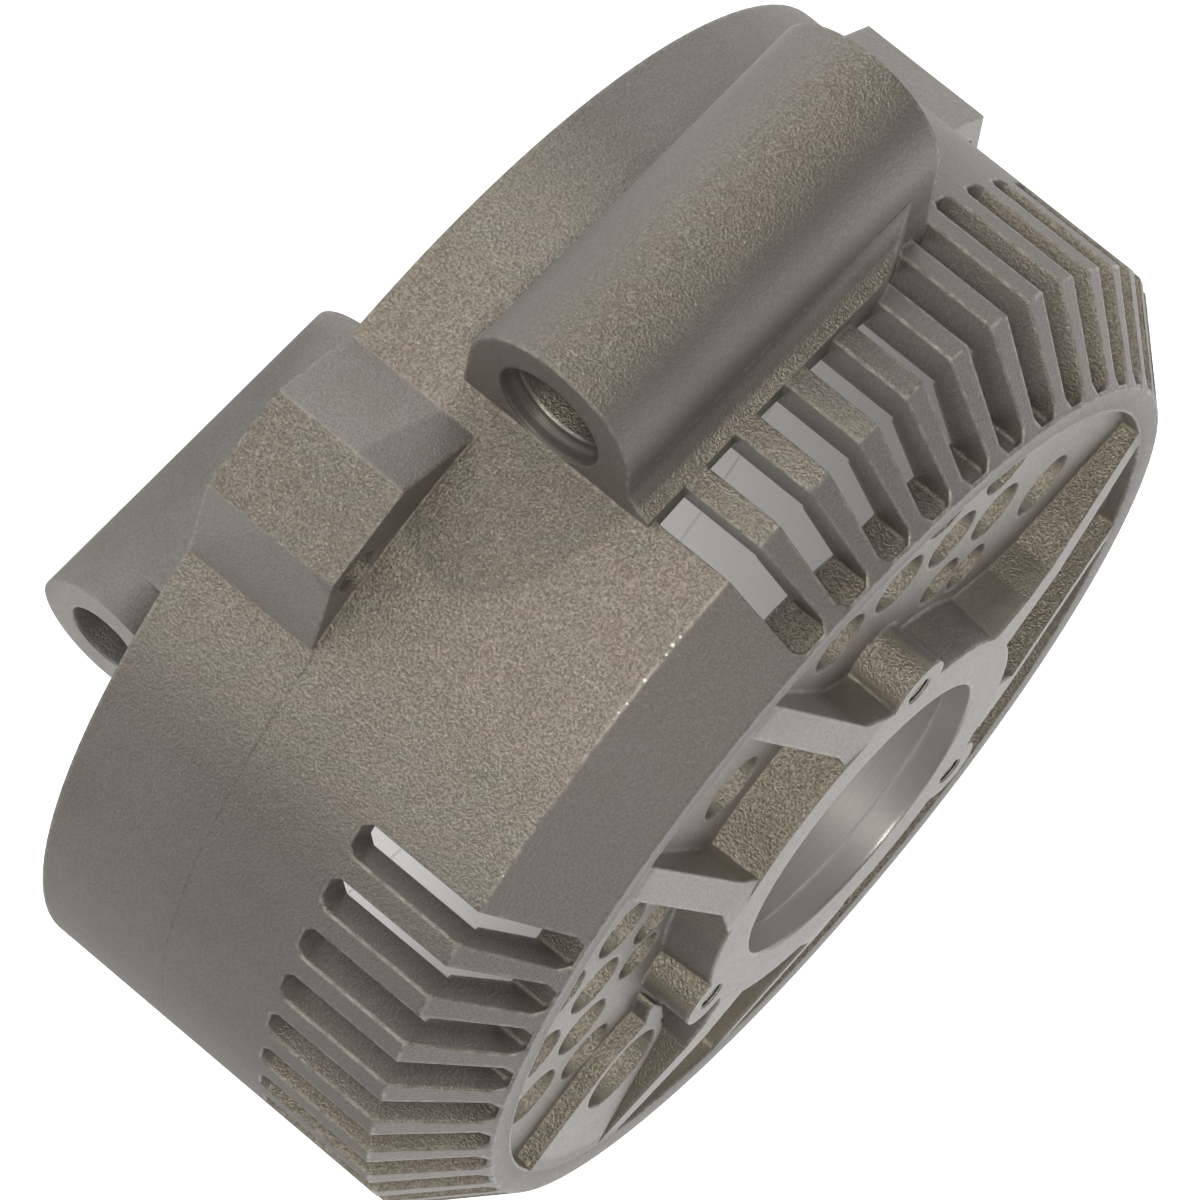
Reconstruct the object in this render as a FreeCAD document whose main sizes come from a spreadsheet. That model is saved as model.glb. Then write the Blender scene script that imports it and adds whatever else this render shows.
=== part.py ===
import FreeCAD, Part
import os

import Sketcher

# Drive end frame of an alternator: one aluminium casting.
# Z runs along the rotor shaft toward the pulley, z = 0 is the rear rim that meets the stator.
# X runs along both mounting bores. Lengths in millimetres, angles in degrees.

os.makedirs("parts", exist_ok=True)
App = FreeCAD
doc = App.newDocument("drive_end_frame")

SIZES = [
    # name, value, meaning
    ("drum_r", 76.4, "outer radius of the drum"),
    ("shoulder_z", 55.0, "height above the rear rim where the finned shoulder starts"),
    ("rim_r", 65.5, "outer radius of the front rim"),
    ("rim_z", 66.1, "front rim face"),
    ("rim_land", 3.7, "width of the front rim"),
    ("rim_in_r", "=rim_r - rim_land", "inner radius of the front rim"),
    ("floor_z", 63.5, "sunk floor between the ribs"),
    ("plate", 3.9, "thickness of the front plate"),
    ("plate_back_z", "=floor_z - plate", "back of the front plate"),
    ("hub_r", 29.2, "outer radius of the hub face"),
    ("hub_z", 71.3, "hub face"),
    ("lip_r", 22.0, "bearing stop lip"),
    ("lip_width", 1.5, "height of the lip over the seat"),
    ("lip_depth", 4.1, "length of the lip"),
    ("lip_back_z", "=hub_z - lip_depth", "rear side of the lip"),
    ("seat_r", "=lip_r + lip_width", "bearing seat radius"),
    ("seat_depth", 14.0, "bearing seat length"),
    ("seat_bevel", 1.2, "bevel at the mouth of the seat"),
    ("hub_back_z", "=lip_back_z - seat_depth - seat_bevel", "rear face of the hub"),
    ("hub_back_r", 34.5, "hub radius inside the frame"),
    ("wall", 4.9, "drum wall"),
    ("wall_in_r", "=drum_r - wall", "machined inner radius of the drum wall"),
    ("wall_in_z", 54.4, "front end of the machined wall"),
    ("wall_step", 0.8, "step left there by the tool"),
    ("plate_corner", 6.9, "from that wall to the inner corner at the plate"),
    ("plate_back_r", "=wall_in_r - plate_corner", "inner corner of the shoulder at the plate"),
    ("register_wall", 3.8, "drum wall at the stator seat"),
    ("register_r", "=drum_r - register_wall", "stator seat radius"),
    ("register_depth", 13.4, "stator seat depth"),
    ("root_depth", 3.0, "how deep bosses and lugs root in the wall"),
    ("root_r", "=drum_r - root_depth", "radius they reach"),
    # front pattern, symmetric about one axis
    ("pattern_clock", 121.0, "angle of the front pattern axis from X"),
    ("slot_first", 21.3, "first slot from the pattern axis"),
    ("slot_count", 47, "cooling slots round the drum"),
    ("slot_width", 5.5, "slot width"),
    ("slot_rear_z", 37.0, "rear end of the slots"),
    ("slot_front_z", 65.7, "front end of the slots"),
    ("slot_round", 1.1, "corner break of the slots"),
    ("slot_floor_r", 64.0, "slot floor where it meets the plate"),
    ("comb_r", 66.0, "inner radius of the ring that carries the slot tools"),
    ("comb_z", 43.0, "rear side of that ring"),
    ("comb_size", 3.0, "thickness of that ring"),
    ("rib_offset", 12.4, "offset of the two upright ribs from the axis"),
    ("rib_half", 2.5, "half width of the main ribs"),
    ("finger_hole_r", 4.9, "hole in the right finger"),
    ("finger_end_r", 7.2, "round end of the right finger"),
    ("finger_u", 48.0, "right finger hole, across"),
    ("finger_w", -1.4, "right finger hole, along"),
    ("eye_hole_r", 6.6, "hole in the left finger"),
    ("eye_end_r", 8.0, "round end of the left finger"),
    ("eye_u", -45.1, "left finger hole, across"),
    ("eye_w", -0.3, "left finger hole, along"),
    ("vent_r", 4.6, "vent hole radius"),
    ("vent_small_r", 3.75, "radius of the vents beside the hub"),
    ("vent_mid_r", 5.0, "radius of the vent between the upright ribs"),
    ("vent_mid_w", 38.7, "distance of that vent from the shaft"),
    ("vent_step", 14.65, "angle between neighbouring vents"),
    ("vent_start", 29.7, "first vent of the middle row from the axis"),
    ("vent_out_start", 37.1, "first vent of the outer row from the axis"),
    ("vent_row_r", 45.3, "middle vent row"),
    ("vent_out_row_r", 55.0, "outer vent row"),
    ("vent_in_row_r", 35.3, "inner vent row"),
    ("vent_low_row_r", 48.2, "vents of the lower pockets"),
    # retainer screws
    ("screw_clock", 75.6, "angle of the first retainer screw"),
    ("screw_row_r", 29.5, "screw circle radius"),
    ("screw_r", 2.1, "tapping radius"),
    ("lobe_r", 4.7, "lobe round each screw"),
    # through-bolt lugs
    ("lug_clock", 118.4, "angle of the first lug"),
    ("lug_third_clock", 0.6, "angle of the third lug, set a little ahead"),
    ("bolt_clock", 121.6, "angle of the first through bolt"),
    ("lug_height", 20.0, "lug length along the shaft"),
    ("lug_top_r", 85.2, "flat top of a lug"),
    ("lug_top_half", 7.05, "half width of the flat top"),
    ("lug_base_half", 16.4, "half width at the drum"),
    ("bolt_row_r", 80.3, "through-bolt circle radius"),
    ("bolt_r", 3.2, "through-bolt clearance radius"),
    # mounting bosses
    ("boss_y", 82.5, "front mounting bore from the shaft"),
    ("boss_z", 27.3, "front mounting bore above the rear rim"),
    ("boss_r", 12.5, "front boss radius"),
    ("boss_bore_r", 7.4, "front mounting bore radius"),
    ("boss_lip_r", 7.7, "machined mouth radius"),
    ("boss_lip_depth", 2.0, "machined mouth depth"),
    ("boss_x0", -16.9, "near end of both bosses"),
    ("boss_length", 57.4, "length of both bosses"),
    ("boss_web_front_z", 43.5, "front foot of the boss"),
    ("boss_web_rear_z", 13.3, "rear foot of the boss"),
    ("boss_web_length", 59.1, "length of the filleted foot"),
    ("boss_web_bend_x", 27.0, "where the front foot starts to fall away"),
    ("boss_web_end_z", 37.0, "front foot at its far end"),
    ("boss_fillet", 3.7, "fillet between boss and drum"),
    ("tube_y", -89.9, "rear mounting bore from the shaft"),
    ("tube_z", -43.9, "rear mounting bore behind the rear rim"),
    ("tube_r", 11.45, "rear boss radius"),
    ("tube_bore_r", 6.2, "rear mounting bore radius"),
    ("arm_x0", -10.0, "near side of the arm"),
    ("arm_width", 43.0, "arm width"),
    ("arm_in_y", -78.4, "stator side of the arm"),
    ("arm_rib", 7.0, "side rib of the arm"),
    ("arm_web", 7.5, "web thickness between the side ribs"),
]

sheet = doc.addObject("Spreadsheet::Sheet", "Sizes")
for row, (name, value, meaning) in enumerate(SIZES, start=1):
    sheet.set(f"A{row}", meaning)
    sheet.set(f"B{row}", str(value))
    sheet.setAlias(f"B{row}", name)
doc.recompute()
NAMES = sorted((n for n, _, _ in SIZES), key=len, reverse=True)


def bound(text):
    """Expression text with every size name read from the sheet."""
    out, i = "", 0
    while i < len(text):
        hit = next((n for n in NAMES if text.startswith(n, i)
                    and (i == 0 or not (text[i - 1].isalnum() or text[i - 1] in "_."))
                    and not (text[i + len(n):i + len(n) + 1].isalnum()
                             or text[i + len(n):i + len(n) + 1] == "_")), None)
        if hit:
            out += "Sizes." + hit
            i += len(hit)
        else:
            out += text[i]
            i += 1
    return out


def number(text):
    got = sheet.evalExpression(bound(text))
    return float(getattr(got, "Value", got))


UPRIGHT = App.Rotation(App.Vector(1, 0, 0), 90)         # sketch x -> X, y -> Z
ACROSS = App.Rotation(App.Vector(1, 1, 1), 120)         # sketch x -> Y, y -> Z, normal X
FLAT = App.Rotation()


def outline(sketch, points):
    """Closed polygon whose corners are tied to the sheet, one x and one y each."""
    xy = [(number(x), number(y)) for x, y in points]
    first = sketch.GeometryCount
    n = len(xy)
    for i in range(n):
        a, b = xy[i], xy[(i + 1) % n]
        sketch.addGeometry(Part.LineSegment(App.Vector(*a, 0), App.Vector(*b, 0)), False)
    for i in range(n):
        sketch.addConstraint(Sketcher.Constraint("Coincident", first + i, 2, first + (i + 1) % n, 1))
    for i, (x, y) in enumerate(points):
        for kind, text, value in (("DistanceX", x, xy[i][0]), ("DistanceY", y, xy[i][1])):
            k = sketch.addConstraint(Sketcher.Constraint(kind, -1, 1, first + i, 1, value))
            sketch.setExpression(f"Constraints[{k}]", bound(text))
    return sketch


def polygon(name, points, turn=FLAT):
    sketch = doc.addObject("Sketcher::SketchObject", name)
    sketch.Placement = App.Placement(App.Vector(), turn)
    return outline(sketch, points)


def prism(name, sketch, length, start=None, turn=None):
    """Solid extrusion of a sketch; start moves it along Z, turn rotates it about Z."""
    solid = doc.addObject("Part::Extrusion", name)
    solid.Base = sketch
    solid.DirMode = "Normal"
    solid.Solid = True
    solid.setExpression("LengthFwd", bound(length))
    place(solid, z=start, turn=turn)
    return solid


def spin(name, sketch):
    solid = doc.addObject("Part::Revolution", name)
    solid.Source = sketch
    solid.Axis = App.Vector(0, 0, 1)
    solid.Base = App.Vector(0, 0, 0)
    solid.Angle = 360
    solid.Solid = True
    return solid


def place(obj, x=None, y=None, z=None, turn=None):
    for axis, text in (("x", x), ("y", y), ("z", z)):
        if text is not None:
            obj.setExpression(f"Placement.Base.{axis}", bound(text))
    if turn is not None:
        obj.Placement.Rotation = App.Rotation(App.Vector(0, 0, 1), 0)
        obj.setExpression("Placement.Rotation.Axis.x", "0")
        obj.setExpression("Placement.Rotation.Axis.y", "0")
        obj.setExpression("Placement.Rotation.Axis.z", "1")
        obj.setExpression("Placement.Rotation.Angle", bound(turn))
    return obj


def pin(name, radius, length, x, y, z):
    """Cylinder along Z."""
    rod = doc.addObject("Part::Cylinder", name)
    rod.setExpression("Radius", bound(radius))
    rod.setExpression("Height", bound(length))
    return place(rod, x, y, z)


def bar(name, radius, length, x, y, z):
    """Cylinder along X."""
    rod = doc.addObject("Part::Cylinder", name)
    rod.Placement = App.Placement(App.Vector(), App.Rotation(App.Vector(0, 1, 0), 90))
    rod.setExpression("Radius", bound(radius))
    rod.setExpression("Height", bound(length))
    return place(rod, x, y, z)


def polar(name, radius, length, row, angle, z):
    return pin(name, radius, length, f"({row}) * cos({angle})", f"({row}) * sin({angle})", z)


def fuse(name, shapes):
    both = doc.addObject("Part::MultiFuse", name)
    both.Shapes = shapes
    both.Refine = False
    return both


def cut(name, base, tool, refine=False):
    rest = doc.addObject("Part::Cut", name)
    rest.Base = base
    rest.Tool = tool
    rest.Refine = refine
    return rest


# Turned shell: drum, shoulder, front plate and hub in one profile
shell = spin("Shell", polygon("ShellProfile", [
    ("register_r", "0"),
    ("drum_r", "0"),
    ("drum_r", "shoulder_z"),
    ("rim_r", "rim_z"),
    ("rim_in_r", "rim_z"),
    ("rim_in_r - 0.3", "floor_z"),
    ("hub_r + 0.6", "floor_z"),
    ("hub_r", "hub_z"),
    ("lip_r", "hub_z"),
    ("lip_r", "lip_back_z"),
    ("seat_r", "lip_back_z"),
    ("seat_r", "lip_back_z - seat_depth"),
    ("seat_r + seat_bevel", "hub_back_z"),
    ("hub_back_r", "hub_back_z"),
    ("hub_back_r + 0.5", "plate_back_z"),
    ("plate_back_r", "plate_back_z"),
    ("wall_in_r - wall_step", "wall_in_z"),
    ("wall_in_r", "wall_in_z"),
    ("wall_in_r", "register_depth"),
    ("register_r", "register_depth"),
], UPRIGHT))

# Cooling slots: one tooth per slot on a ring that lies in the empty inside of the drum
comb = doc.addObject("PartDesign::Body", "SlotComb")


def base_plane(body, role):
    return next(f for f in body.Origin.OriginFeatures if getattr(f, "Role", "") == role)


ring_sketch = comb.newObject("Sketcher::SketchObject", "CombRingProfile")
ring_sketch.AttachmentSupport = [(base_plane(comb, "XZ_Plane"), "")]
ring_sketch.MapMode = "FlatFace"
outline(ring_sketch, [
    ("comb_r", "comb_z"),
    ("comb_r + comb_size", "comb_z"),
    ("comb_r + comb_size", "comb_z + comb_size"),
    ("comb_r", "comb_z + comb_size"),
])
ring = comb.newObject("PartDesign::Revolution", "CombRing")
ring.Profile = ring_sketch
ring.ReferenceAxis = (ring_sketch, ["V_Axis"])
ring.Angle = 360

tooth_sketch = comb.newObject("Sketcher::SketchObject", "SlotOutline")
tooth_sketch.AttachmentSupport = [(base_plane(comb, "YZ_Plane"), "")]
tooth_sketch.MapMode = "FlatFace"
tooth_sketch.setExpression("AttachmentOffset.Base.z", bound("slot_floor_r"))
half = "slot_width / 2"
corners = []
for sx, end, sz in ((1, "slot_rear_z", 1), (1, "slot_front_z", -1), (-1, "slot_front_z", -1),
                    (-1, "slot_rear_z", 1)):
    run = [(f"{sx} * ({half} - slot_round)", end),
           (f"{sx} * {half}", f"{end} + {sz} * slot_round")]
    corners += run if sx * sz > 0 else run[::-1]
outline(tooth_sketch, corners)
tooth = comb.newObject("PartDesign::Pad", "SlotTooth")
tooth.Profile = tooth_sketch
tooth.setExpression("Length", bound("drum_r + 4 - slot_floor_r"))
teeth = comb.newObject("PartDesign::PolarPattern", "SlotTeeth")
teeth.Originals = [tooth]
teeth.Axis = (base_plane(comb, "Z_Axis"), [""])
teeth.setExpression("Angle", bound("360 - 2 * slot_first"))
teeth.setExpression("Occurrences", bound("slot_count"))
comb.Tip = teeth
place(comb, turn="pattern_clock + slot_first")
slotted = cut("SlottedShell", shell, comb)

# Six ribs in plan: across the pattern axis, then along it. The left three mirror the right three.
# Each top falls straight from the hub face to the rim along the direction given with the rib.
RIBS = {
    "Upright": (90, 26.3, 60.5, [
        ("rib_offset - rib_half - 1.8", "24.5"), ("rib_offset + rib_half + 2.6", "24"),
        ("rib_offset + rib_half", "30.5"), ("rib_offset + rib_half", "61.2"),
        ("rib_offset - rib_half", "62.2"), ("rib_offset - rib_half", "31.5")]),
    "Side": (-20, 28, 61.2, [
        ("26.5", "5.5"), ("26.2", "-7.5"), ("27.9", "-7.4"), ("33.6", "-12.1"), ("38.2", "-15.8"),
        ("45.1", "-18.8"), ("58.5", "-23.4"), ("60.7", "-19.1"), ("48.8", "-13.7"), ("39.3", "-9.5"),
        ("34.7", "-5.5"), ("29.8", "1.3")]),
    "Lower": (-45, 29, 61.5, [
        ("21.5", "-18"), ("13.5", "-24.5"), ("20.7", "-31.9"), ("44", "-46.3"), ("45.6", "-43.5"),
        ("22.3", "-29.1")]),
}
ribs = []
for rib, (fall, high, low, points) in RIBS.items():
    for side, sign in (("Right", 1), ("Left", -1)):
        plan = [(f"{sign} * ({x})", y) for x, y in points]
        plan = plan if sign > 0 else plan[::-1]
        block = prism(f"{rib}{side}Block", polygon(f"{rib}{side}Plan", plan), "hub_z - floor_z + 1",
                      "floor_z - 0.5", "pattern_clock - 90")
        roof = prism(f"{rib}{side}Roof", polygon(f"{rib}{side}RoofSection", [
            ("0", "plate_back_z"), ("drum_r", "plate_back_z"), ("drum_r", "rim_z"), (f"{low}", "rim_z"),
            (f"{high}", "hub_z"), ("0", "hub_z")], UPRIGHT), "120", turn=
            f"pattern_clock - 90 + {fall if sign > 0 else 180 - fall}")
        roof.Symmetric = True
        wedge = doc.addObject("Part::MultiCommon", f"{rib}{side}Rib")
        wedge.Shapes = [block, roof]
        ribs.append(wedge)


def on_axis(u, w):
    """Plan point across and along the pattern axis, as x and y of the frame."""
    return (f"({u}) * sin(pattern_clock) + ({w}) * cos(pattern_clock)",
            f"({w}) * sin(pattern_clock) - ({u}) * cos(pattern_clock)")


# Two fingers level with the rim, each with a round end and a hole
rise = "rim_z - floor_z + 0.5"
finger = prism("FingerRight", polygon("FingerRightPlan", [
    ("finger_u", "finger_w + finger_end_r"), ("44", "-7.4"), ("59.9", "-18.5"), ("62.8", "-7"),
    ("62.5", "5.6")]), rise, "floor_z - 0.5", "pattern_clock - 90")
finger_end = pin("FingerRightEnd", "finger_end_r", rise, *on_axis("finger_u", "finger_w"), "floor_z - 0.5")
eye = prism("FingerLeft", polygon("FingerLeftPlan", [
    ("eye_u", "eye_w + eye_end_r"), ("-62.4", "7"), ("-62.8", "-7"), ("-59.9", "-18.5"),
    ("-40.2", "-6.7"), ("-38.2", "-2.4"), ("-36.4", "-0.9"), ("-34.6", "3.4"), ("-34", "8.2"),
    ("-35", "7.8"), ("-37.4", "4.8"), ("-39.6", "6")]), rise, "floor_z - 0.5", "pattern_clock - 90")
eye_end = pin("FingerLeftEnd", "eye_end_r", rise, *on_axis("eye_u", "eye_w"), "floor_z - 0.5")

lobes = [polar(f"ScrewLobe{i}", "lobe_r", "hub_z - floor_z + 0.5", "screw_row_r",
               f"screw_clock + {120 * i}", "floor_z - 0.5") for i in range(3)]

# Stiffening ribs behind the plate
back_ribs = []
for i, angle in enumerate((15.4, 105.2, 139)):
    for side in (1, -1):
        rib = doc.addObject("Part::Box", f"BackRib{i}{'RL'[side > 0]}")
        rib.setExpression("Length", bound("plate_back_r - 2 - hub_back_r + 1"))
        rib.Width = 3.5
        rib.Height = 3.6
        turn = f"pattern_clock + {side * angle}"
        place(rib, f"(hub_back_r - 1) * cos({turn}) + 1.75 * sin({turn})",
              f"(hub_back_r - 1) * sin({turn}) - 1.75 * cos({turn})", "plate_back_z - 3.4", turn)
        back_ribs.append(rib)

# Through-bolt lugs on the rear rim
lug_plan = polygon("LugPlan", [
    ("root_r - 2", "-lug_base_half"), ("sqrt(drum_r ^ 2 - lug_base_half ^ 2)", "-lug_base_half"),
    ("lug_top_r", "-lug_top_half"), ("lug_top_r", "lug_top_half"),
    ("sqrt(drum_r ^ 2 - lug_base_half ^ 2)", "lug_base_half"), ("root_r - 2", "lug_base_half")])
lugs = [prism(f"Lug{i}", lug_plan, "lug_height", "0", clock)
        for i, clock in enumerate(("lug_clock", "lug_clock + 120", "lug_third_clock"))]

# Front mounting boss with its foot on the drum
boss = bar("FrontBoss", "boss_r", "boss_length", "boss_x0", "boss_y", "boss_z")
foot = prism("FrontBossFoot", polygon("FrontBossFootSection", [
    ("root_r - 14", "boss_web_rear_z"), ("boss_y", "boss_z - boss_r"), ("boss_y", "boss_z + boss_r"),
    ("root_r - 14", "boss_z + boss_r")], ACROSS), "boss_length")
place(foot, x="boss_x0")
toe = prism("FrontBossToe", polygon("FrontBossToeSection", [
    ("root_r - 8", "boss_z"), ("boss_z + boss_r + boss_fillet - boss_web_front_z + drum_r + boss_fillet",
                               "boss_z"),
    ("drum_r + boss_fillet", "boss_web_front_z"), ("root_r - 8", "boss_web_front_z")], ACROSS),
    "boss_web_length")
place(toe, x="boss_x0")
toe_round = bar("FrontBossFillet", "boss_fillet", "boss_length + 10", "boss_x0 - 5",
                "drum_r + boss_fillet - 0.1", "boss_web_front_z + 0.1")
toe_trim = prism("FrontBossToeTrim", polygon("FrontBossToeTrimSection", [
    ("boss_web_bend_x", "boss_web_front_z"), ("boss_x0 + boss_web_length", "boss_web_end_z"),
    ("boss_x0 + boss_web_length + 5", "boss_web_end_z"), ("boss_x0 + boss_web_length + 5", "60"),
    ("boss_web_bend_x", "60")], UPRIGHT), "120")
place(toe_trim, y="120")
toe_cut = cut("FrontBossToeFilleted", toe, fuse("FrontBossToeTools", [toe_round, toe_trim]))

# Rear mounting boss on an arm that reaches back past the stator
tube = bar("RearBoss", "tube_r", "boss_length", "boss_x0", "tube_y", "tube_z")
arm_section = polygon("ArmSection", [
    ("-root_r + 8", "33"), ("-drum_r", "33"), ("-92", "10"), ("tube_y - tube_r", "tube_z"),
    ("arm_in_y", "tube_z"), ("arm_in_y", "-2"), ("-drum_r + 0.4", "0"), ("-root_r + 8", "0")], ACROSS)
arm = prism("Arm", arm_section, "arm_width")
place(arm, x="arm_x0")
recess_section = polygon("ArmRecessSection", [
    ("arm_in_y - arm_web", "8"), ("-110", "8"), ("-110", "tube_z + tube_r + 2"),
    ("arm_in_y - arm_web", "tube_z + tube_r + 4")], ACROSS)
recess = prism("ArmRecess", recess_section, "arm_width - 2 * arm_rib")
place(recess, x="arm_x0 + arm_rib")
arm_ribbed = cut("ArmRibbed", arm, recess)

outside = fuse("OutsideParts", [boss, foot, toe_cut, tube, arm_ribbed] + lugs)
inside = pin("WallRoot", "root_r", "shoulder_z + 2", "0", "0", "0")
rooted = cut("OutsideRooted", outside, inside)

solid = fuse("CastBlank", [slotted, finger, finger_end, eye, eye_end] + ribs + lobes + back_ribs + [rooted])

# Holes
through = "rim_z - plate_back_z + 6"
low = "plate_back_z - 3"
holes = [
    pin("VentMid", "vent_mid_r", through, *on_axis("-0.2", "vent_mid_w"), low),
    pin("FingerHole", "finger_hole_r", through, *on_axis("finger_u", "finger_w"), low),
    pin("EyeHole", "eye_hole_r", through, *on_axis("eye_u", "eye_w"), low),
    polar("VentLow", "vent_r", through, "vent_low_row_r", "pattern_clock + 180", low),
]
for side, sign in (("L", 1), ("R", -1)):
    for i in range(4):
        holes.append(polar(f"Vent{side}{i}", "vent_r", through, "vent_row_r",
                           f"pattern_clock + {sign} * (vent_start + {i} * vent_step)", low))
    for i in range(3):
        holes.append(polar(f"VentOut{side}{i}", "vent_r", through, "vent_out_row_r",
                           f"pattern_clock + {sign} * (vent_out_start + {i} * vent_step)", low))
    for i, angle in enumerate((124, 163)):
        holes.append(polar(f"VentLow{side}{i}", "vent_r", through, "vent_low_row_r",
                           f"pattern_clock + {sign * angle}", low))
for i, angle in enumerate((37.6, 50.8, -66.6, -79.8)):
    holes.append(polar(f"VentIn{i}", "vent_small_r", through, "vent_in_row_r",
                       f"pattern_clock + {angle}", low))
for i in range(3):
    holes.append(polar(f"ScrewHole{i}", "screw_r", "hub_z - hub_back_z + 2", "screw_row_r",
                       f"screw_clock + {120 * i}", "hub_back_z - 1"))
    holes.append(polar(f"BoltHole{i}", "bolt_r", "lug_height + 2", "bolt_row_r",
                       f"bolt_clock + {120 * i}", "-1"))
holes += [
    bar("FrontBore", "boss_bore_r", "boss_web_length + 2", "boss_x0 - 1", "boss_y", "boss_z"),
    bar("FrontMouthNear", "boss_lip_r", "boss_lip_depth + 1", "boss_x0 - 1", "boss_y", "boss_z"),
    bar("FrontMouthFar", "boss_lip_r", "boss_lip_depth + 5", "boss_x0 + boss_length - boss_lip_depth",
        "boss_y", "boss_z"),
    bar("RearBore", "tube_bore_r", "boss_length + 2", "boss_x0 - 1", "tube_y", "tube_z"),
]
frame = cut("Casting", solid, fuse("Holes", holes), refine=True)
frame.Label = "drive_end_frame"
doc.recompute()

problems = [f"{o.Name} {o.State}" for o in doc.Objects
            if any(s in ("Invalid", "Error") for s in o.State)]
shape = frame.Shape
if problems or shape.isNull() or not shape.isValid():
    raise RuntimeError("; ".join(problems) or "shape is null or not valid")
if len(shape.Solids) != 1:
    raise RuntimeError(f"{len(shape.Solids)} solids instead of one")
shape.Solids[0].exportStep("parts/drive_end_frame.step")
box = shape.BoundBox
print("size", round(box.XLength, 2), round(box.YLength, 2), round(box.ZLength, 2))
print("volume", round(shape.Volume), "faces", len(shape.Faces), "solids", len(shape.Solids))
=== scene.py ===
import math
from types import SimpleNamespace

import bpy
from mathutils import Matrix, Vector


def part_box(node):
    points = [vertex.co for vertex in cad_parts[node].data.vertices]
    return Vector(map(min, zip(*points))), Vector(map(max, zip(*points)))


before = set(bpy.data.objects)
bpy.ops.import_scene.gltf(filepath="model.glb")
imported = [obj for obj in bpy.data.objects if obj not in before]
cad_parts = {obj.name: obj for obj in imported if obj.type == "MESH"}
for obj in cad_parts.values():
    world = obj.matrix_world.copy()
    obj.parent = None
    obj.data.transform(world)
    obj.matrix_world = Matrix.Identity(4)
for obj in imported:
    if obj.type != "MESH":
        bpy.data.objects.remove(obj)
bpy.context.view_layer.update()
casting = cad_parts["drive_end_frame"]

# Angle round the shaft from the photograph's own axes to the row frame
TURN = math.radians(20.9)


def row(x, y, z):
    """A vector measured from the photograph, turned into the row frame."""
    return Vector((x * math.cos(TURN) - y * math.sin(TURN), x * math.sin(TURN) + y * math.cos(TURN), z))


# Camera: the picture's right, up and toward-camera directions, and its place in metres
RIGHT = row(0.63228, -0.17810, 0.75398)
UP = row(0.77473, 0.14535, -0.61535)
BACK = row(0.0, 0.9732, 0.22988)
EYE = row(0.0007, 0.9523, 0.2515)
LENS = 227.48

# Square soft lights: name, place along RIGHT, UP and BACK in metres, size, power, colour
LAMPS = [
    ("front", (0.05, -0.08, 1.0), 0.16, 4.3, (1.0, 0.94, 0.82)),
    ("face", (0.45, -0.75, 0.5), 0.6, 0.6, (1.0, 0.96, 0.92)),
]
# Studio walls: their dim level, and glows as direction, cosines where each starts and is full, colour
WALL_LEVEL = (0.03, 0.03, 0.03)
GLOWS = [
    (row(0.0, -0.93, 0.37), 0.05, 0.9, (1.28, 1.27, 1.28)),
    (BACK, 0.3, 0.95, (0.10, 0.09, 0.07)),
]
BACKDROP = 1.1
# Light that the floor gives: its mean level, and the direction and half-width of its rise
FLOOR_LIGHT = 0.32
FLOOR_RISE = row(0.97, 0.25, 0.0)
FLOOR_REACH = 0.25

# Places on the casting in metres: R from the shaft, Z above the rear rim, both as in the row frame.
# A pair is the start and the end of a soft step, or the two sides of a band.
DRUM_R = 0.0764
KINK_Z = 0.0550
SHOULDER_FALL = 0.982
DRUM_SKIN_R = (0.0760, 0.0768)
KINK_R, KINK_BAND_Z = (0.0756, 0.0768), (0.0548, 0.0552)
PARTING_R, PARTING_Z = (0.0760, 0.0767), (0.02015, 0.02045)
PANEL_R, PANEL_Z = (0.0652, 0.0658), (0.0548, 0.0556)
WALL_R = (0.0712, 0.0730)
WALL_X = (-0.045, 0.045)
SEAT_R, SEAT_Z = (0.0215, 0.0240), (0.0515, 0.0520)
BORE_Y, BORE_Z = 0.0825, 0.0273
MOUTH_R, MOUTH_X = (0.0078, 0.0079), (-0.0140, -0.0135)
BOSS_R = (0.0150, 0.0158)
PADS_R = (0.0770, 0.0776)
ARM_Z = (-0.026, -0.032)
POCKET_R, POCKET_Z = (0.0615, 0.0620), (0.0560, 0.0565)
HUB_R, HUB_Z = (0.040, 0.041), (0.0705, 0.0710)
RIM_R, RIM_Z = (0.0600, 0.0660), (0.0655, 0.0660)
SLOTS_R, SLOTS_Z, SLOT_DEPTH = (0.0618, 0.0622), (0.025, 0.030), (0.0008, 0.0045)
SHARP = 0.0001
# Screw holes: row radius, clock angle of the first, reach of the mask, top, and the thread's pitch
SCREW_ROW, SCREW_CLOCK, SCREW_REACH, SCREW_Z, PITCH = 0.0295, 75.6, 0.0025, (0.0712, 0.0711), 0.0005
# Small nicks in the front edge of the drum: clock angle, height, size
NICKS = [
    (108.4, 0.0550, 0.00020), (109.4, 0.0549, 0.00026), (110.4, 0.0551, 0.00022),
    (113.4, 0.0550, 0.00026), (116.0, 0.0551, 0.00018), (117.1, 0.0549, 0.00016),
    (135.8, 0.0552, 0.00022),
]
# Direction that the front-lit side of the casting faces, where the skin is painted brown and grainy as the
# front lamp shows it (painted light), and rounding that the light sees at edges
FRONT_LIT_SIDE = row(0.0, 0.995, 0.10)
EDGE_RADIUS = 0.0009
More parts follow.
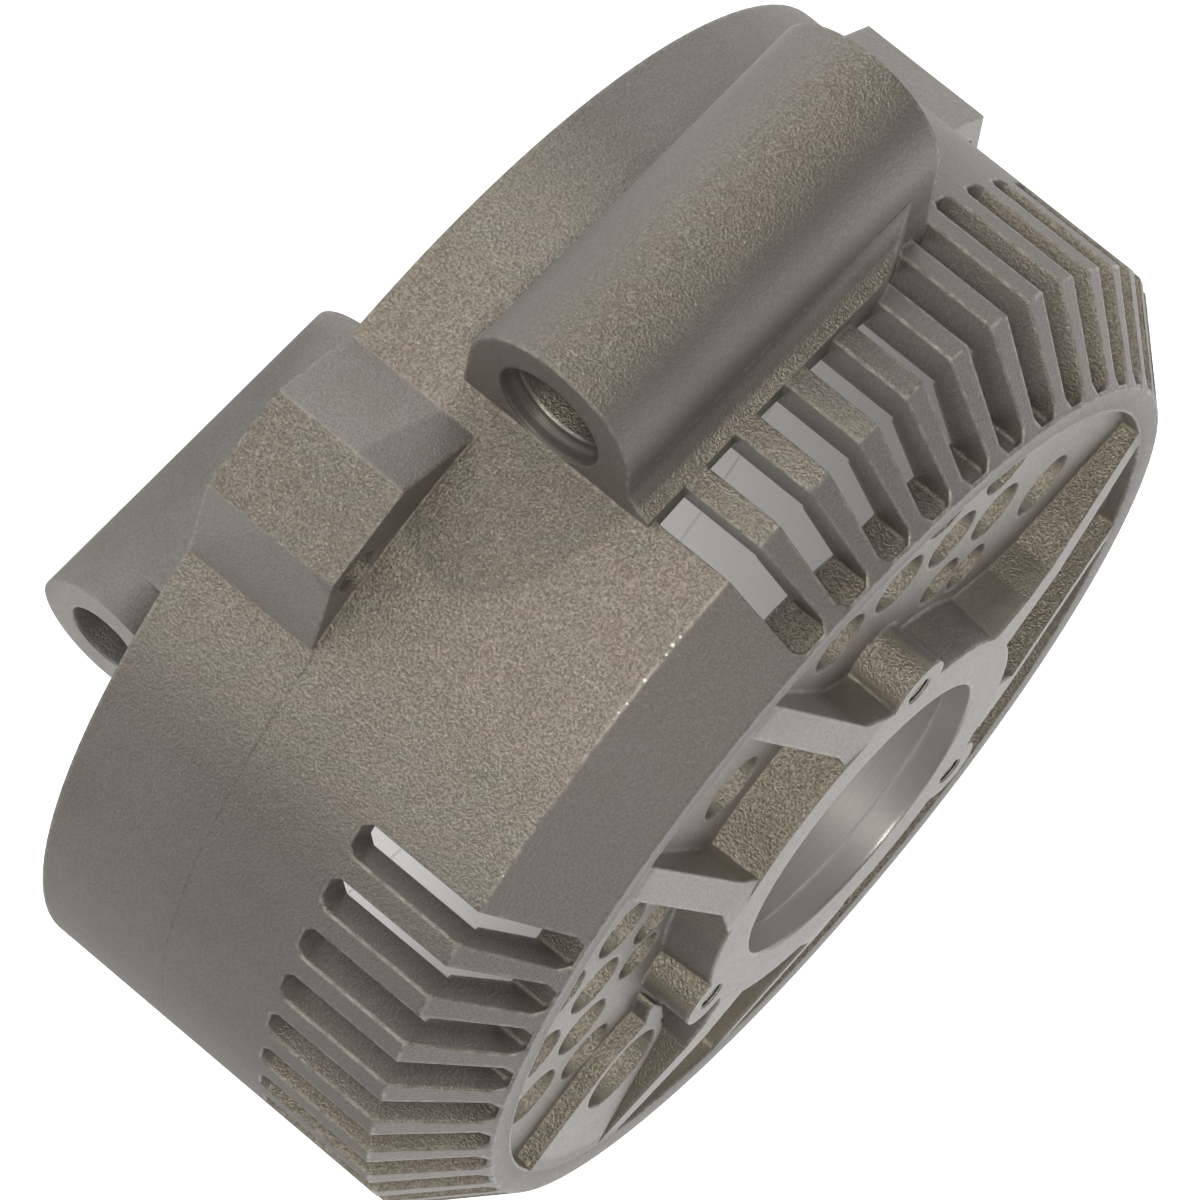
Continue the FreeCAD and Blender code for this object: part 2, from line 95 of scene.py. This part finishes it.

# Tones
# Painted light: brown tones of the skin where the front lamp falls on it
FRONT_LIT_SKIN = (0.355, 0.342, 0.29, 1), (0.40, 0.385, 0.34, 1)
RUDDY = (0.40, 0.342, 0.308, 1)
# Painted light: greyer tones of the same skin where only soft light falls
SOFT_LIT_SKIN = (0.315, 0.305, 0.29, 1), (0.35, 0.34, 0.325, 1)
# Cone panel: a smoother finish, painted darker as well, as shade for the less light it gets
PANEL = (0.285, 0.272, 0.262, 1)
# Painted light: the arm lighter, standing in for light that falls on it
ARM_LIGHT = (0.46, 0.45, 0.435, 1)
HUB = (0.35, 0.34, 0.33, 1)
# Painted light: pocket walls that face the front lamp, lighter
POCKET_LIGHT = (0.57, 0.542, 0.475, 1)
CLOUDS = (0.28, 0.26, 0.22, 1)
GRAIN_PITS = (0.12, 0.108, 0.085, 1)
GLINTS = (0.85, 0.80, 0.70, 1)
# Worn edges, also a painted highlight along the rounded edges
EDGE_WEAR_AND_HIGHLIGHT = (0.60, 0.58, 0.53, 1)
# Painted highlight along the kink round the drum
KINK_HIGHLIGHT = (0.62, 0.60, 0.54, 1)
# Painted shade deep in the slots
SLOT_SHADE = (0.03, 0.028, 0.024, 1)
PARTING = (0.14, 0.13, 0.11, 1)
WHITE = (1.0, 1.0, 1.0, 1)
BLACK = (0.0, 0.0, 0.0, 1)
TURNED = (0.54, 0.54, 0.535, 1), (0.60, 0.60, 0.595, 1)
TURNED_WALL = (0.74, 0.74, 0.735, 1)
BORE_MOUTH = (0.21, 0.205, 0.19, 1)
# Painted shade and highlight of the thread's turns
THREAD_SHADE_AND_HIGHLIGHT = (0.03, 0.03, 0.03, 1), (0.80, 0.80, 0.78, 1)
PALE = (0.9, 0.9, 0.9, 1)


def add_camera():
    data = bpy.data.cameras.new("camera")
    data.sensor_fit = "HORIZONTAL"
    data.sensor_width = 36.0
    data.lens = LENS
    data.clip_start = 0.05
    data.clip_end = 20.0
    camera = bpy.data.objects.new("camera", data)
    bpy.context.scene.collection.objects.link(camera)
    camera.matrix_world = Matrix.Translation(EYE) @ Matrix((RIGHT, UP, BACK)).transposed().to_4x4()
    bpy.context.scene.camera = camera


def add_lamp(name, place, size, power, color):
    """Square soft light that looks at the middle of the casting."""
    data = bpy.data.lights.new(name, "AREA")
    data.size = size
    data.energy = power
    data.color = color
    lamp = bpy.data.objects.new(name, data)
    bpy.context.scene.collection.objects.link(lamp)
    across, up, back = place
    lamp.location = RIGHT * across + UP * up + BACK * back
    lamp.rotation_euler = (-lamp.location).to_track_quat("-Z", "Y").to_euler()


class Graph:
    """Short calls for building a node tree."""

    def __init__(self, tree):
        self.nodes = tree.nodes
        self.links = tree.links
        self.nodes.clear()

    def put(self, socket, value):
        """Links a socket, or sets it to a plain value."""
        if isinstance(value, bpy.types.NodeSocket):
            self.links.new(value, socket)
        elif value is not None:
            socket.default_value = value

    def math(self, operation, *values):
        node = self.nodes.new("ShaderNodeMath")
        node.operation = operation
        for socket, value in zip(node.inputs, values):
            self.put(socket, value)
        return node.outputs[0]

    def product(self, first, *rest):
        for value in rest:
            first = self.math("MULTIPLY", first, value)
        return first

    def most(self, first, *rest):
        for value in rest:
            first = self.math("MAXIMUM", first, value)
        return first

    def length(self, a, b):
        """Length of a vector with two parts."""
        return self.math("SQRT", self.math("ADD", self.product(a, a), self.product(b, b)))

    def vector(self, operation, *values):
        node = self.nodes.new("ShaderNodeVectorMath")
        node.operation = operation
        for socket, value in zip(node.inputs, values):
            self.put(socket, value)
        return node.outputs["Value" if operation in ("DOT_PRODUCT", "DISTANCE") else "Vector"]

    def combine(self, *parts):
        node = self.nodes.new("ShaderNodeCombineXYZ")
        for socket, value in zip(node.inputs, parts):
            self.put(socket, value)
        return node.outputs[0]

    def ramp(self, value, span, to_low=0.0, to_high=1.0):
        """Straight rise from one level to another while the value crosses the span."""
        node = self.nodes.new("ShaderNodeMapRange")
        node.clamp = True
        for name, v in zip(("Value", "From Min", "From Max", "To Min", "To Max"),
                           (value, *span, to_low, to_high)):
            self.put(node.inputs[name], v)
        return node.outputs["Result"]

    def band(self, value, span, soft=SHARP):
        """1 inside the span, 0 outside, over a short soft step."""
        low, high = span
        return self.product(self.ramp(value, (low - soft, low + soft)),
                            self.ramp(value, (high - soft, high + soft), 1.0, 0.0))

    def near(self, place, center, size):
        """1 within a small distance of a point."""
        return self.ramp(self.vector("DISTANCE", place, center), (0.8 * size, 1.2 * size), 1.0, 0.0)

    def noise(self, place, scale, detail, rough=0.55):
        node = self.nodes.new("ShaderNodeTexNoise")
        self.put(node.inputs["Vector"], place)
        node.inputs["Scale"].default_value = scale
        node.inputs["Detail"].default_value = detail
        node.inputs["Roughness"].default_value = rough
        return node.outputs["Fac"]

    def mix(self, factor, a, b):
        """Blend of two colours."""
        node = self.nodes.new("ShaderNodeMix")
        node.data_type = "RGBA"
        for i, value in ((0, factor), (6, a), (7, b)):
            self.put(node.inputs[i], value)
        return node.outputs[2]

    def mix_value(self, factor, a, b):
        """Blend of two numbers."""
        node = self.nodes.new("ShaderNodeMix")
        node.data_type = "FLOAT"
        for i, value in ((0, factor), (2, a), (3, b)):
            self.put(node.inputs[i], value)
        return node.outputs[0]


def new_material(name):
    """A material with one principled shader: the material, its graph and the shader's sockets."""
    material = bpy.data.materials.new(name)
    material.use_nodes = True
    graph = Graph(material.node_tree)
    shader = graph.nodes.new("ShaderNodeBsdfPrincipled")
    output = graph.nodes.new("ShaderNodeOutputMaterial")
    graph.links.new(shader.outputs["BSDF"], output.inputs["Surface"])
    return material, graph, shader.inputs


def add_studio():
    """White backdrop for the camera, and soft glows for the light on the casting."""
    world = bpy.data.worlds.new("studio")
    bpy.context.scene.world = world
    world.use_nodes = True
    g = Graph(world.node_tree)
    way = g.nodes.new("ShaderNodeTexCoord").outputs["Generated"]
    level = WALL_LEVEL
    for direction, low, high, color in GLOWS:
        glow = g.ramp(g.vector("DOT_PRODUCT", way, direction), (low, high))
        glow.node.interpolation_type = "SMOOTHSTEP"
        level = g.vector("MULTIPLY_ADD", glow, color, level)
    path = g.nodes.new("ShaderNodeLightPath").outputs
    white = g.nodes.new("ShaderNodeBackground")
    white.inputs["Color"].default_value = WHITE
    white.inputs["Strength"].default_value = BACKDROP
    soft = g.nodes.new("ShaderNodeBackground")
    g.put(soft.inputs["Color"], level)
    both = g.nodes.new("ShaderNodeMixShader")
    g.put(both.inputs[0], g.most(path["Is Camera Ray"], path["Is Transmission Ray"]))
    g.put(both.inputs[1], soft.outputs[0])
    g.put(both.inputs[2], white.outputs[0])
    g.put(g.nodes.new("ShaderNodeOutputWorld").inputs["Surface"], both.outputs[0])


def measures(g):
    """Where a point of the casting lies and which way its surface faces."""
    at = SimpleNamespace()
    at.place = g.nodes.new("ShaderNodeTexCoord").outputs["Object"]
    split = g.nodes.new("ShaderNodeSeparateXYZ")
    g.put(split.inputs[0], at.place)
    at.x, at.y, at.z = split.outputs
    at.radius = g.length(at.x, at.y)
    at.level = g.combine(at.x, at.y)
    at.from_bore = g.length(g.math("SUBTRACT", at.y, BORE_Y), g.math("SUBTRACT", at.z, BORE_Z))
    normal = g.nodes.new("ShaderNodeNewGeometry").outputs["Normal"]
    at.outward = g.vector("DOT_PRODUCT", g.vector("NORMALIZE", at.level), normal)
    at.toward = g.vector("DOT_PRODUCT", normal, FRONT_LIT_SIDE)
    bevel = g.nodes.new("ShaderNodeBevel")
    bevel.samples = 4
    bevel.inputs["Radius"].default_value = EDGE_RADIUS
    at.rounded = bevel.outputs[0]
    at.edge = g.ramp(g.vector("DOT_PRODUCT", at.rounded, normal), (0.99, 0.85))
    at.arm = g.ramp(at.z, ARM_Z)
    # Painted light: faces toward the front lamp get the skin's lit, grainy look; the arm is left out
    at.blasted = g.product(g.ramp(at.toward, (0.74, 0.95)), g.math("SUBTRACT", 1.0, at.arm))
    at.chips = g.noise(at.place, 700.0, 2.0, 0.6)
    at.patch = g.noise(at.place, 150.0, 3.0)
    at.grain = g.noise(at.place, 2700.0, 2.5, 0.62)
    return at


def machined_parts(g, at):
    """Masks of the machined wall, of the bore's near mouth, and of all that is machined."""
    wall = g.band(at.radius, WALL_R)
    seat = g.product(g.band(at.radius, SEAT_R), g.ramp(at.z, SEAT_Z))
    inward = g.ramp(at.outward, (-0.90, -0.97))
    mouth = g.product(g.ramp(at.from_bore, MOUTH_R, 1.0, 0.0), g.ramp(at.x, MOUTH_X, 1.0, 0.0))
    return wall, mouth, g.most(g.product(g.most(seat, wall), inward), mouth)


def skin(g, at):
    """Tone of the cast skin: painted brown and grainy on the side toward the front boss and the front lamp,
    as that lamp shows it, smoother-looking and greyer elsewhere.
    """
    broad = g.ramp(g.noise(at.place, 30.0, 2.0), (0.35, 0.65))
    blotch = g.noise(at.place, 330.0, 2.0)
    rough = g.mix(broad, *FRONT_LIT_SKIN)
    rough = g.mix(g.ramp(blotch, (0.42, 0.60), 0.0, 0.7), rough, RUDDY)

    # The cone panel, its darker tone partly painted shade
    panel = g.product(g.ramp(at.z, PANEL_Z), g.ramp(at.radius, PANEL_R), g.ramp(at.outward, (0.45, 0.6)),
                      g.ramp(at.outward, (0.78, 0.9), 1.0, 0.0))
    hub = g.product(g.ramp(at.radius, HUB_R, 1.0, 0.0), g.ramp(at.z, HUB_Z))
    soft_lit = g.mix(broad, *SOFT_LIT_SKIN)
    # The arm's lighter tone is painted light
    for mask, tone in ((panel, PANEL), (at.arm, ARM_LIGHT), (hub, HUB)):
        soft_lit = g.mix(mask, soft_lit, tone)

    # Painted light: walls inside the pockets that face the front lamp are lightened
    pocket_lit = g.product(g.ramp(at.radius, POCKET_R, 1.0, 0.0), g.ramp(at.z, POCKET_Z),
                       g.ramp(at.toward, (0.55, 0.75)))
    return g.mix(pocket_lit, g.mix(at.blasted, soft_lit, rough), POCKET_LIGHT)


def shaded(g, at, cast):
    """Darker boss, raised pads, rim face and far side of the drum."""
    boss = g.ramp(at.from_bore, BOSS_R, 0.25, 0.0)
    pads = g.product(g.ramp(at.radius, PADS_R, 0.0, 0.24), at.blasted)
    drum_side = g.product(g.ramp(at.toward, (0.90, 0.80), 0.0, 0.30), g.ramp(at.outward, (0.96, 0.98)),
                          g.band(at.radius, DRUM_SKIN_R))
    rim = g.product(g.band(at.radius, RIM_R, 0.0005), g.ramp(at.z, RIM_Z, 0.0, 0.33))
    return g.mix(g.most(boss, pads, drum_side, rim), cast, BLACK)


def grained(g, at, cast):
    """Clouds, dark pits and light glints of the grain, worn edges with a painted highlight, and a painted
    highlight along the kink.
    """
    glints = g.noise(at.place, 3700.0, 0.0, 0.5)
    cast = g.mix(g.ramp(at.patch, (0.35, 0.7), 0.25, 0.0), cast, CLOUDS)
    pits = g.product(g.ramp(at.grain, (0.40, 0.60), 0.54, 0.0), g.ramp(at.blasted, (0.0, 1.0), 0.35, 1.0))
    cast = g.mix(pits, cast, GRAIN_PITS)
    light = g.product(g.ramp(glints, (0.64, 0.76), 0.0, 0.24), g.ramp(at.blasted, (0.0, 1.0), 0.2, 1.0))
    cast = g.mix(light, cast, GLINTS)
    # Edge wear with a painted highlight along rounded edges
    cast = g.mix(g.product(at.edge, g.ramp(at.chips, (0.40, 0.62), 0.12, 0.75)), cast, EDGE_WEAR_AND_HIGHLIGHT)
    # Painted highlight along the kink, broken into patches
    kink = g.product(g.band(at.z, KINK_BAND_Z, 0.00015), g.band(at.radius, KINK_R),
                     g.ramp(at.chips, (0.42, 0.55), 0.0, 0.45))
    return g.mix(kink, cast, KINK_HIGHLIGHT)


def marked(g, at, cast):
    """Painted shade down in the slots, the parting line round the drum and nicks on its front edge."""
    fall = g.product(g.math("MAXIMUM", g.math("SUBTRACT", at.z, KINK_Z), 0.0), SHOULDER_FALL)
    depth = g.math("SUBTRACT", g.math("SUBTRACT", DRUM_R, at.radius), fall)
    # Painted shade: darker the deeper a point lies in a slot
    deep = g.product(g.ramp(depth, SLOT_DEPTH, 0.0, 0.45), g.ramp(at.radius, SLOTS_R), g.ramp(at.z, SLOTS_Z))
    cast = g.mix(deep, cast, SLOT_SHADE)

    wander = g.math("MULTIPLY_ADD", g.noise(at.place, 60.0, 2.0), 0.0016, -0.0008)
    parting = g.product(g.band(g.math("ADD", at.z, wander), PARTING_Z, 0.00008),
                        g.ramp(at.outward, (0.97, 0.99)), g.band(at.radius, PARTING_R),
                        g.ramp(at.chips, (0.45, 0.55), 0.10, 0.55))
    cast = g.mix(parting, cast, PARTING)
    nicks = [g.near(at.place, around(DRUM_R, clock, height), size) for clock, height, size in NICKS]
    return g.mix(g.most(*nicks), cast, WHITE)


def around(radius, clock, height=0.0):
    """A point given by its radius, clock angle and height."""
    return (radius * math.cos(math.radians(clock)), radius * math.sin(math.radians(clock)), height)


def turned_metal(g, at, wall, mouth):
    """Bright metal with tool marks, darker in the bore's mouth, with painted shade along the wall."""
    marks = g.noise(g.combine(None, None, at.z), 3800.0, 1.0)
    bright = g.mix(g.ramp(marks, (0.35, 0.65)), *TURNED)
    bright = g.mix(wall, bright, TURNED_WALL)
    bright = g.mix(mouth, bright, BORE_MOUTH)
    # Painted shade: the machined wall darkens toward one end
    along = g.vector("DOT_PRODUCT", at.place, row(1.0, 0.0, 0.0))
    return g.mix(g.product(wall, g.ramp(along, WALL_X, 0.0, 0.45)), bright, BLACK)


def threaded(g, at, cast):
    """Painted shade and highlight bands for the cut thread in the three screw holes."""
    holes = [g.near(at.level, around(SCREW_ROW, SCREW_CLOCK + 120 * i), SCREW_REACH) for i in range(3)]
    turns = g.ramp(g.math("SINE", g.product(at.z, 2 * math.pi / PITCH)), (-0.4, 0.4))
    return g.mix(g.product(g.most(*holes), g.ramp(at.z, SCREW_Z)), cast, g.mix(turns, *THREAD_SHADE_AND_HIGHLIGHT))


def cast_aluminium():
    material, g, shader = new_material("cast_aluminium")
    at = measures(g)
    wall, mouth, machined = machined_parts(g, at)
    cast = skin(g, at)
    for step in (shaded, grained, marked, threaded):
        cast = step(g, at, cast)
    g.put(shader["Base Color"], g.mix(machined, cast, turned_metal(g, at, wall, mouth)))
    shader["Metallic"].default_value = 0.75
    rough = g.ramp(at.grain, (0.35, 0.7), 0.54, 0.42)
    g.put(shader["Roughness"], g.mix_value(machined, rough, g.mix_value(mouth, 0.32, 0.46)))

    relief = g.math("ADD", g.product(at.grain, 0.8), g.product(at.patch, 0.4))
    relief = g.product(relief, g.ramp(at.blasted, (0.0, 1.0), 0.35, 1.0), g.mix_value(machined, 1.0, 0.04))
    bump = g.nodes.new("ShaderNodeBump")
    bump.inputs["Strength"].default_value = 1.0
    bump.inputs["Distance"].default_value = 0.00045
    g.put(bump.inputs["Height"], relief)
    g.put(bump.inputs["Normal"], at.rounded)
    g.put(shader["Normal"], bump.outputs[0])
    return material


def pale_floor():
    """Plain floor that is white to the camera and gives a soft, uneven light from below."""
    material, g, shader = new_material("pale_floor")
    shader["Base Color"].default_value = PALE
    shader["Roughness"].default_value = 0.9
    shader["Emission Color"].default_value = WHITE
    by_camera = g.nodes.new("ShaderNodeLightPath").outputs["Is Camera Ray"]
    along = g.vector("DOT_PRODUCT", g.nodes.new("ShaderNodeTexCoord").outputs["Object"], FLOOR_RISE)
    light = g.ramp(along, (-FLOOR_REACH, FLOOR_REACH), 0.35 * FLOOR_LIGHT, 1.65 * FLOOR_LIGHT)
    g.put(shader["Emission Strength"], g.mix_value(by_camera, light, 1.0))
    return material


add_camera()
for values in LAMPS:
    add_lamp(*values)
add_studio()
bpy.context.scene.view_settings.view_transform = "Standard"

casting.data.materials.clear()
casting.data.materials.append(cast_aluminium())

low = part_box("drive_end_frame")[0][2]
bpy.ops.mesh.primitive_plane_add(size=6.0, location=(0, 0, low - 0.0005))
floor = bpy.context.object
floor.name = "floor"
floor.data.materials.append(pale_floor())
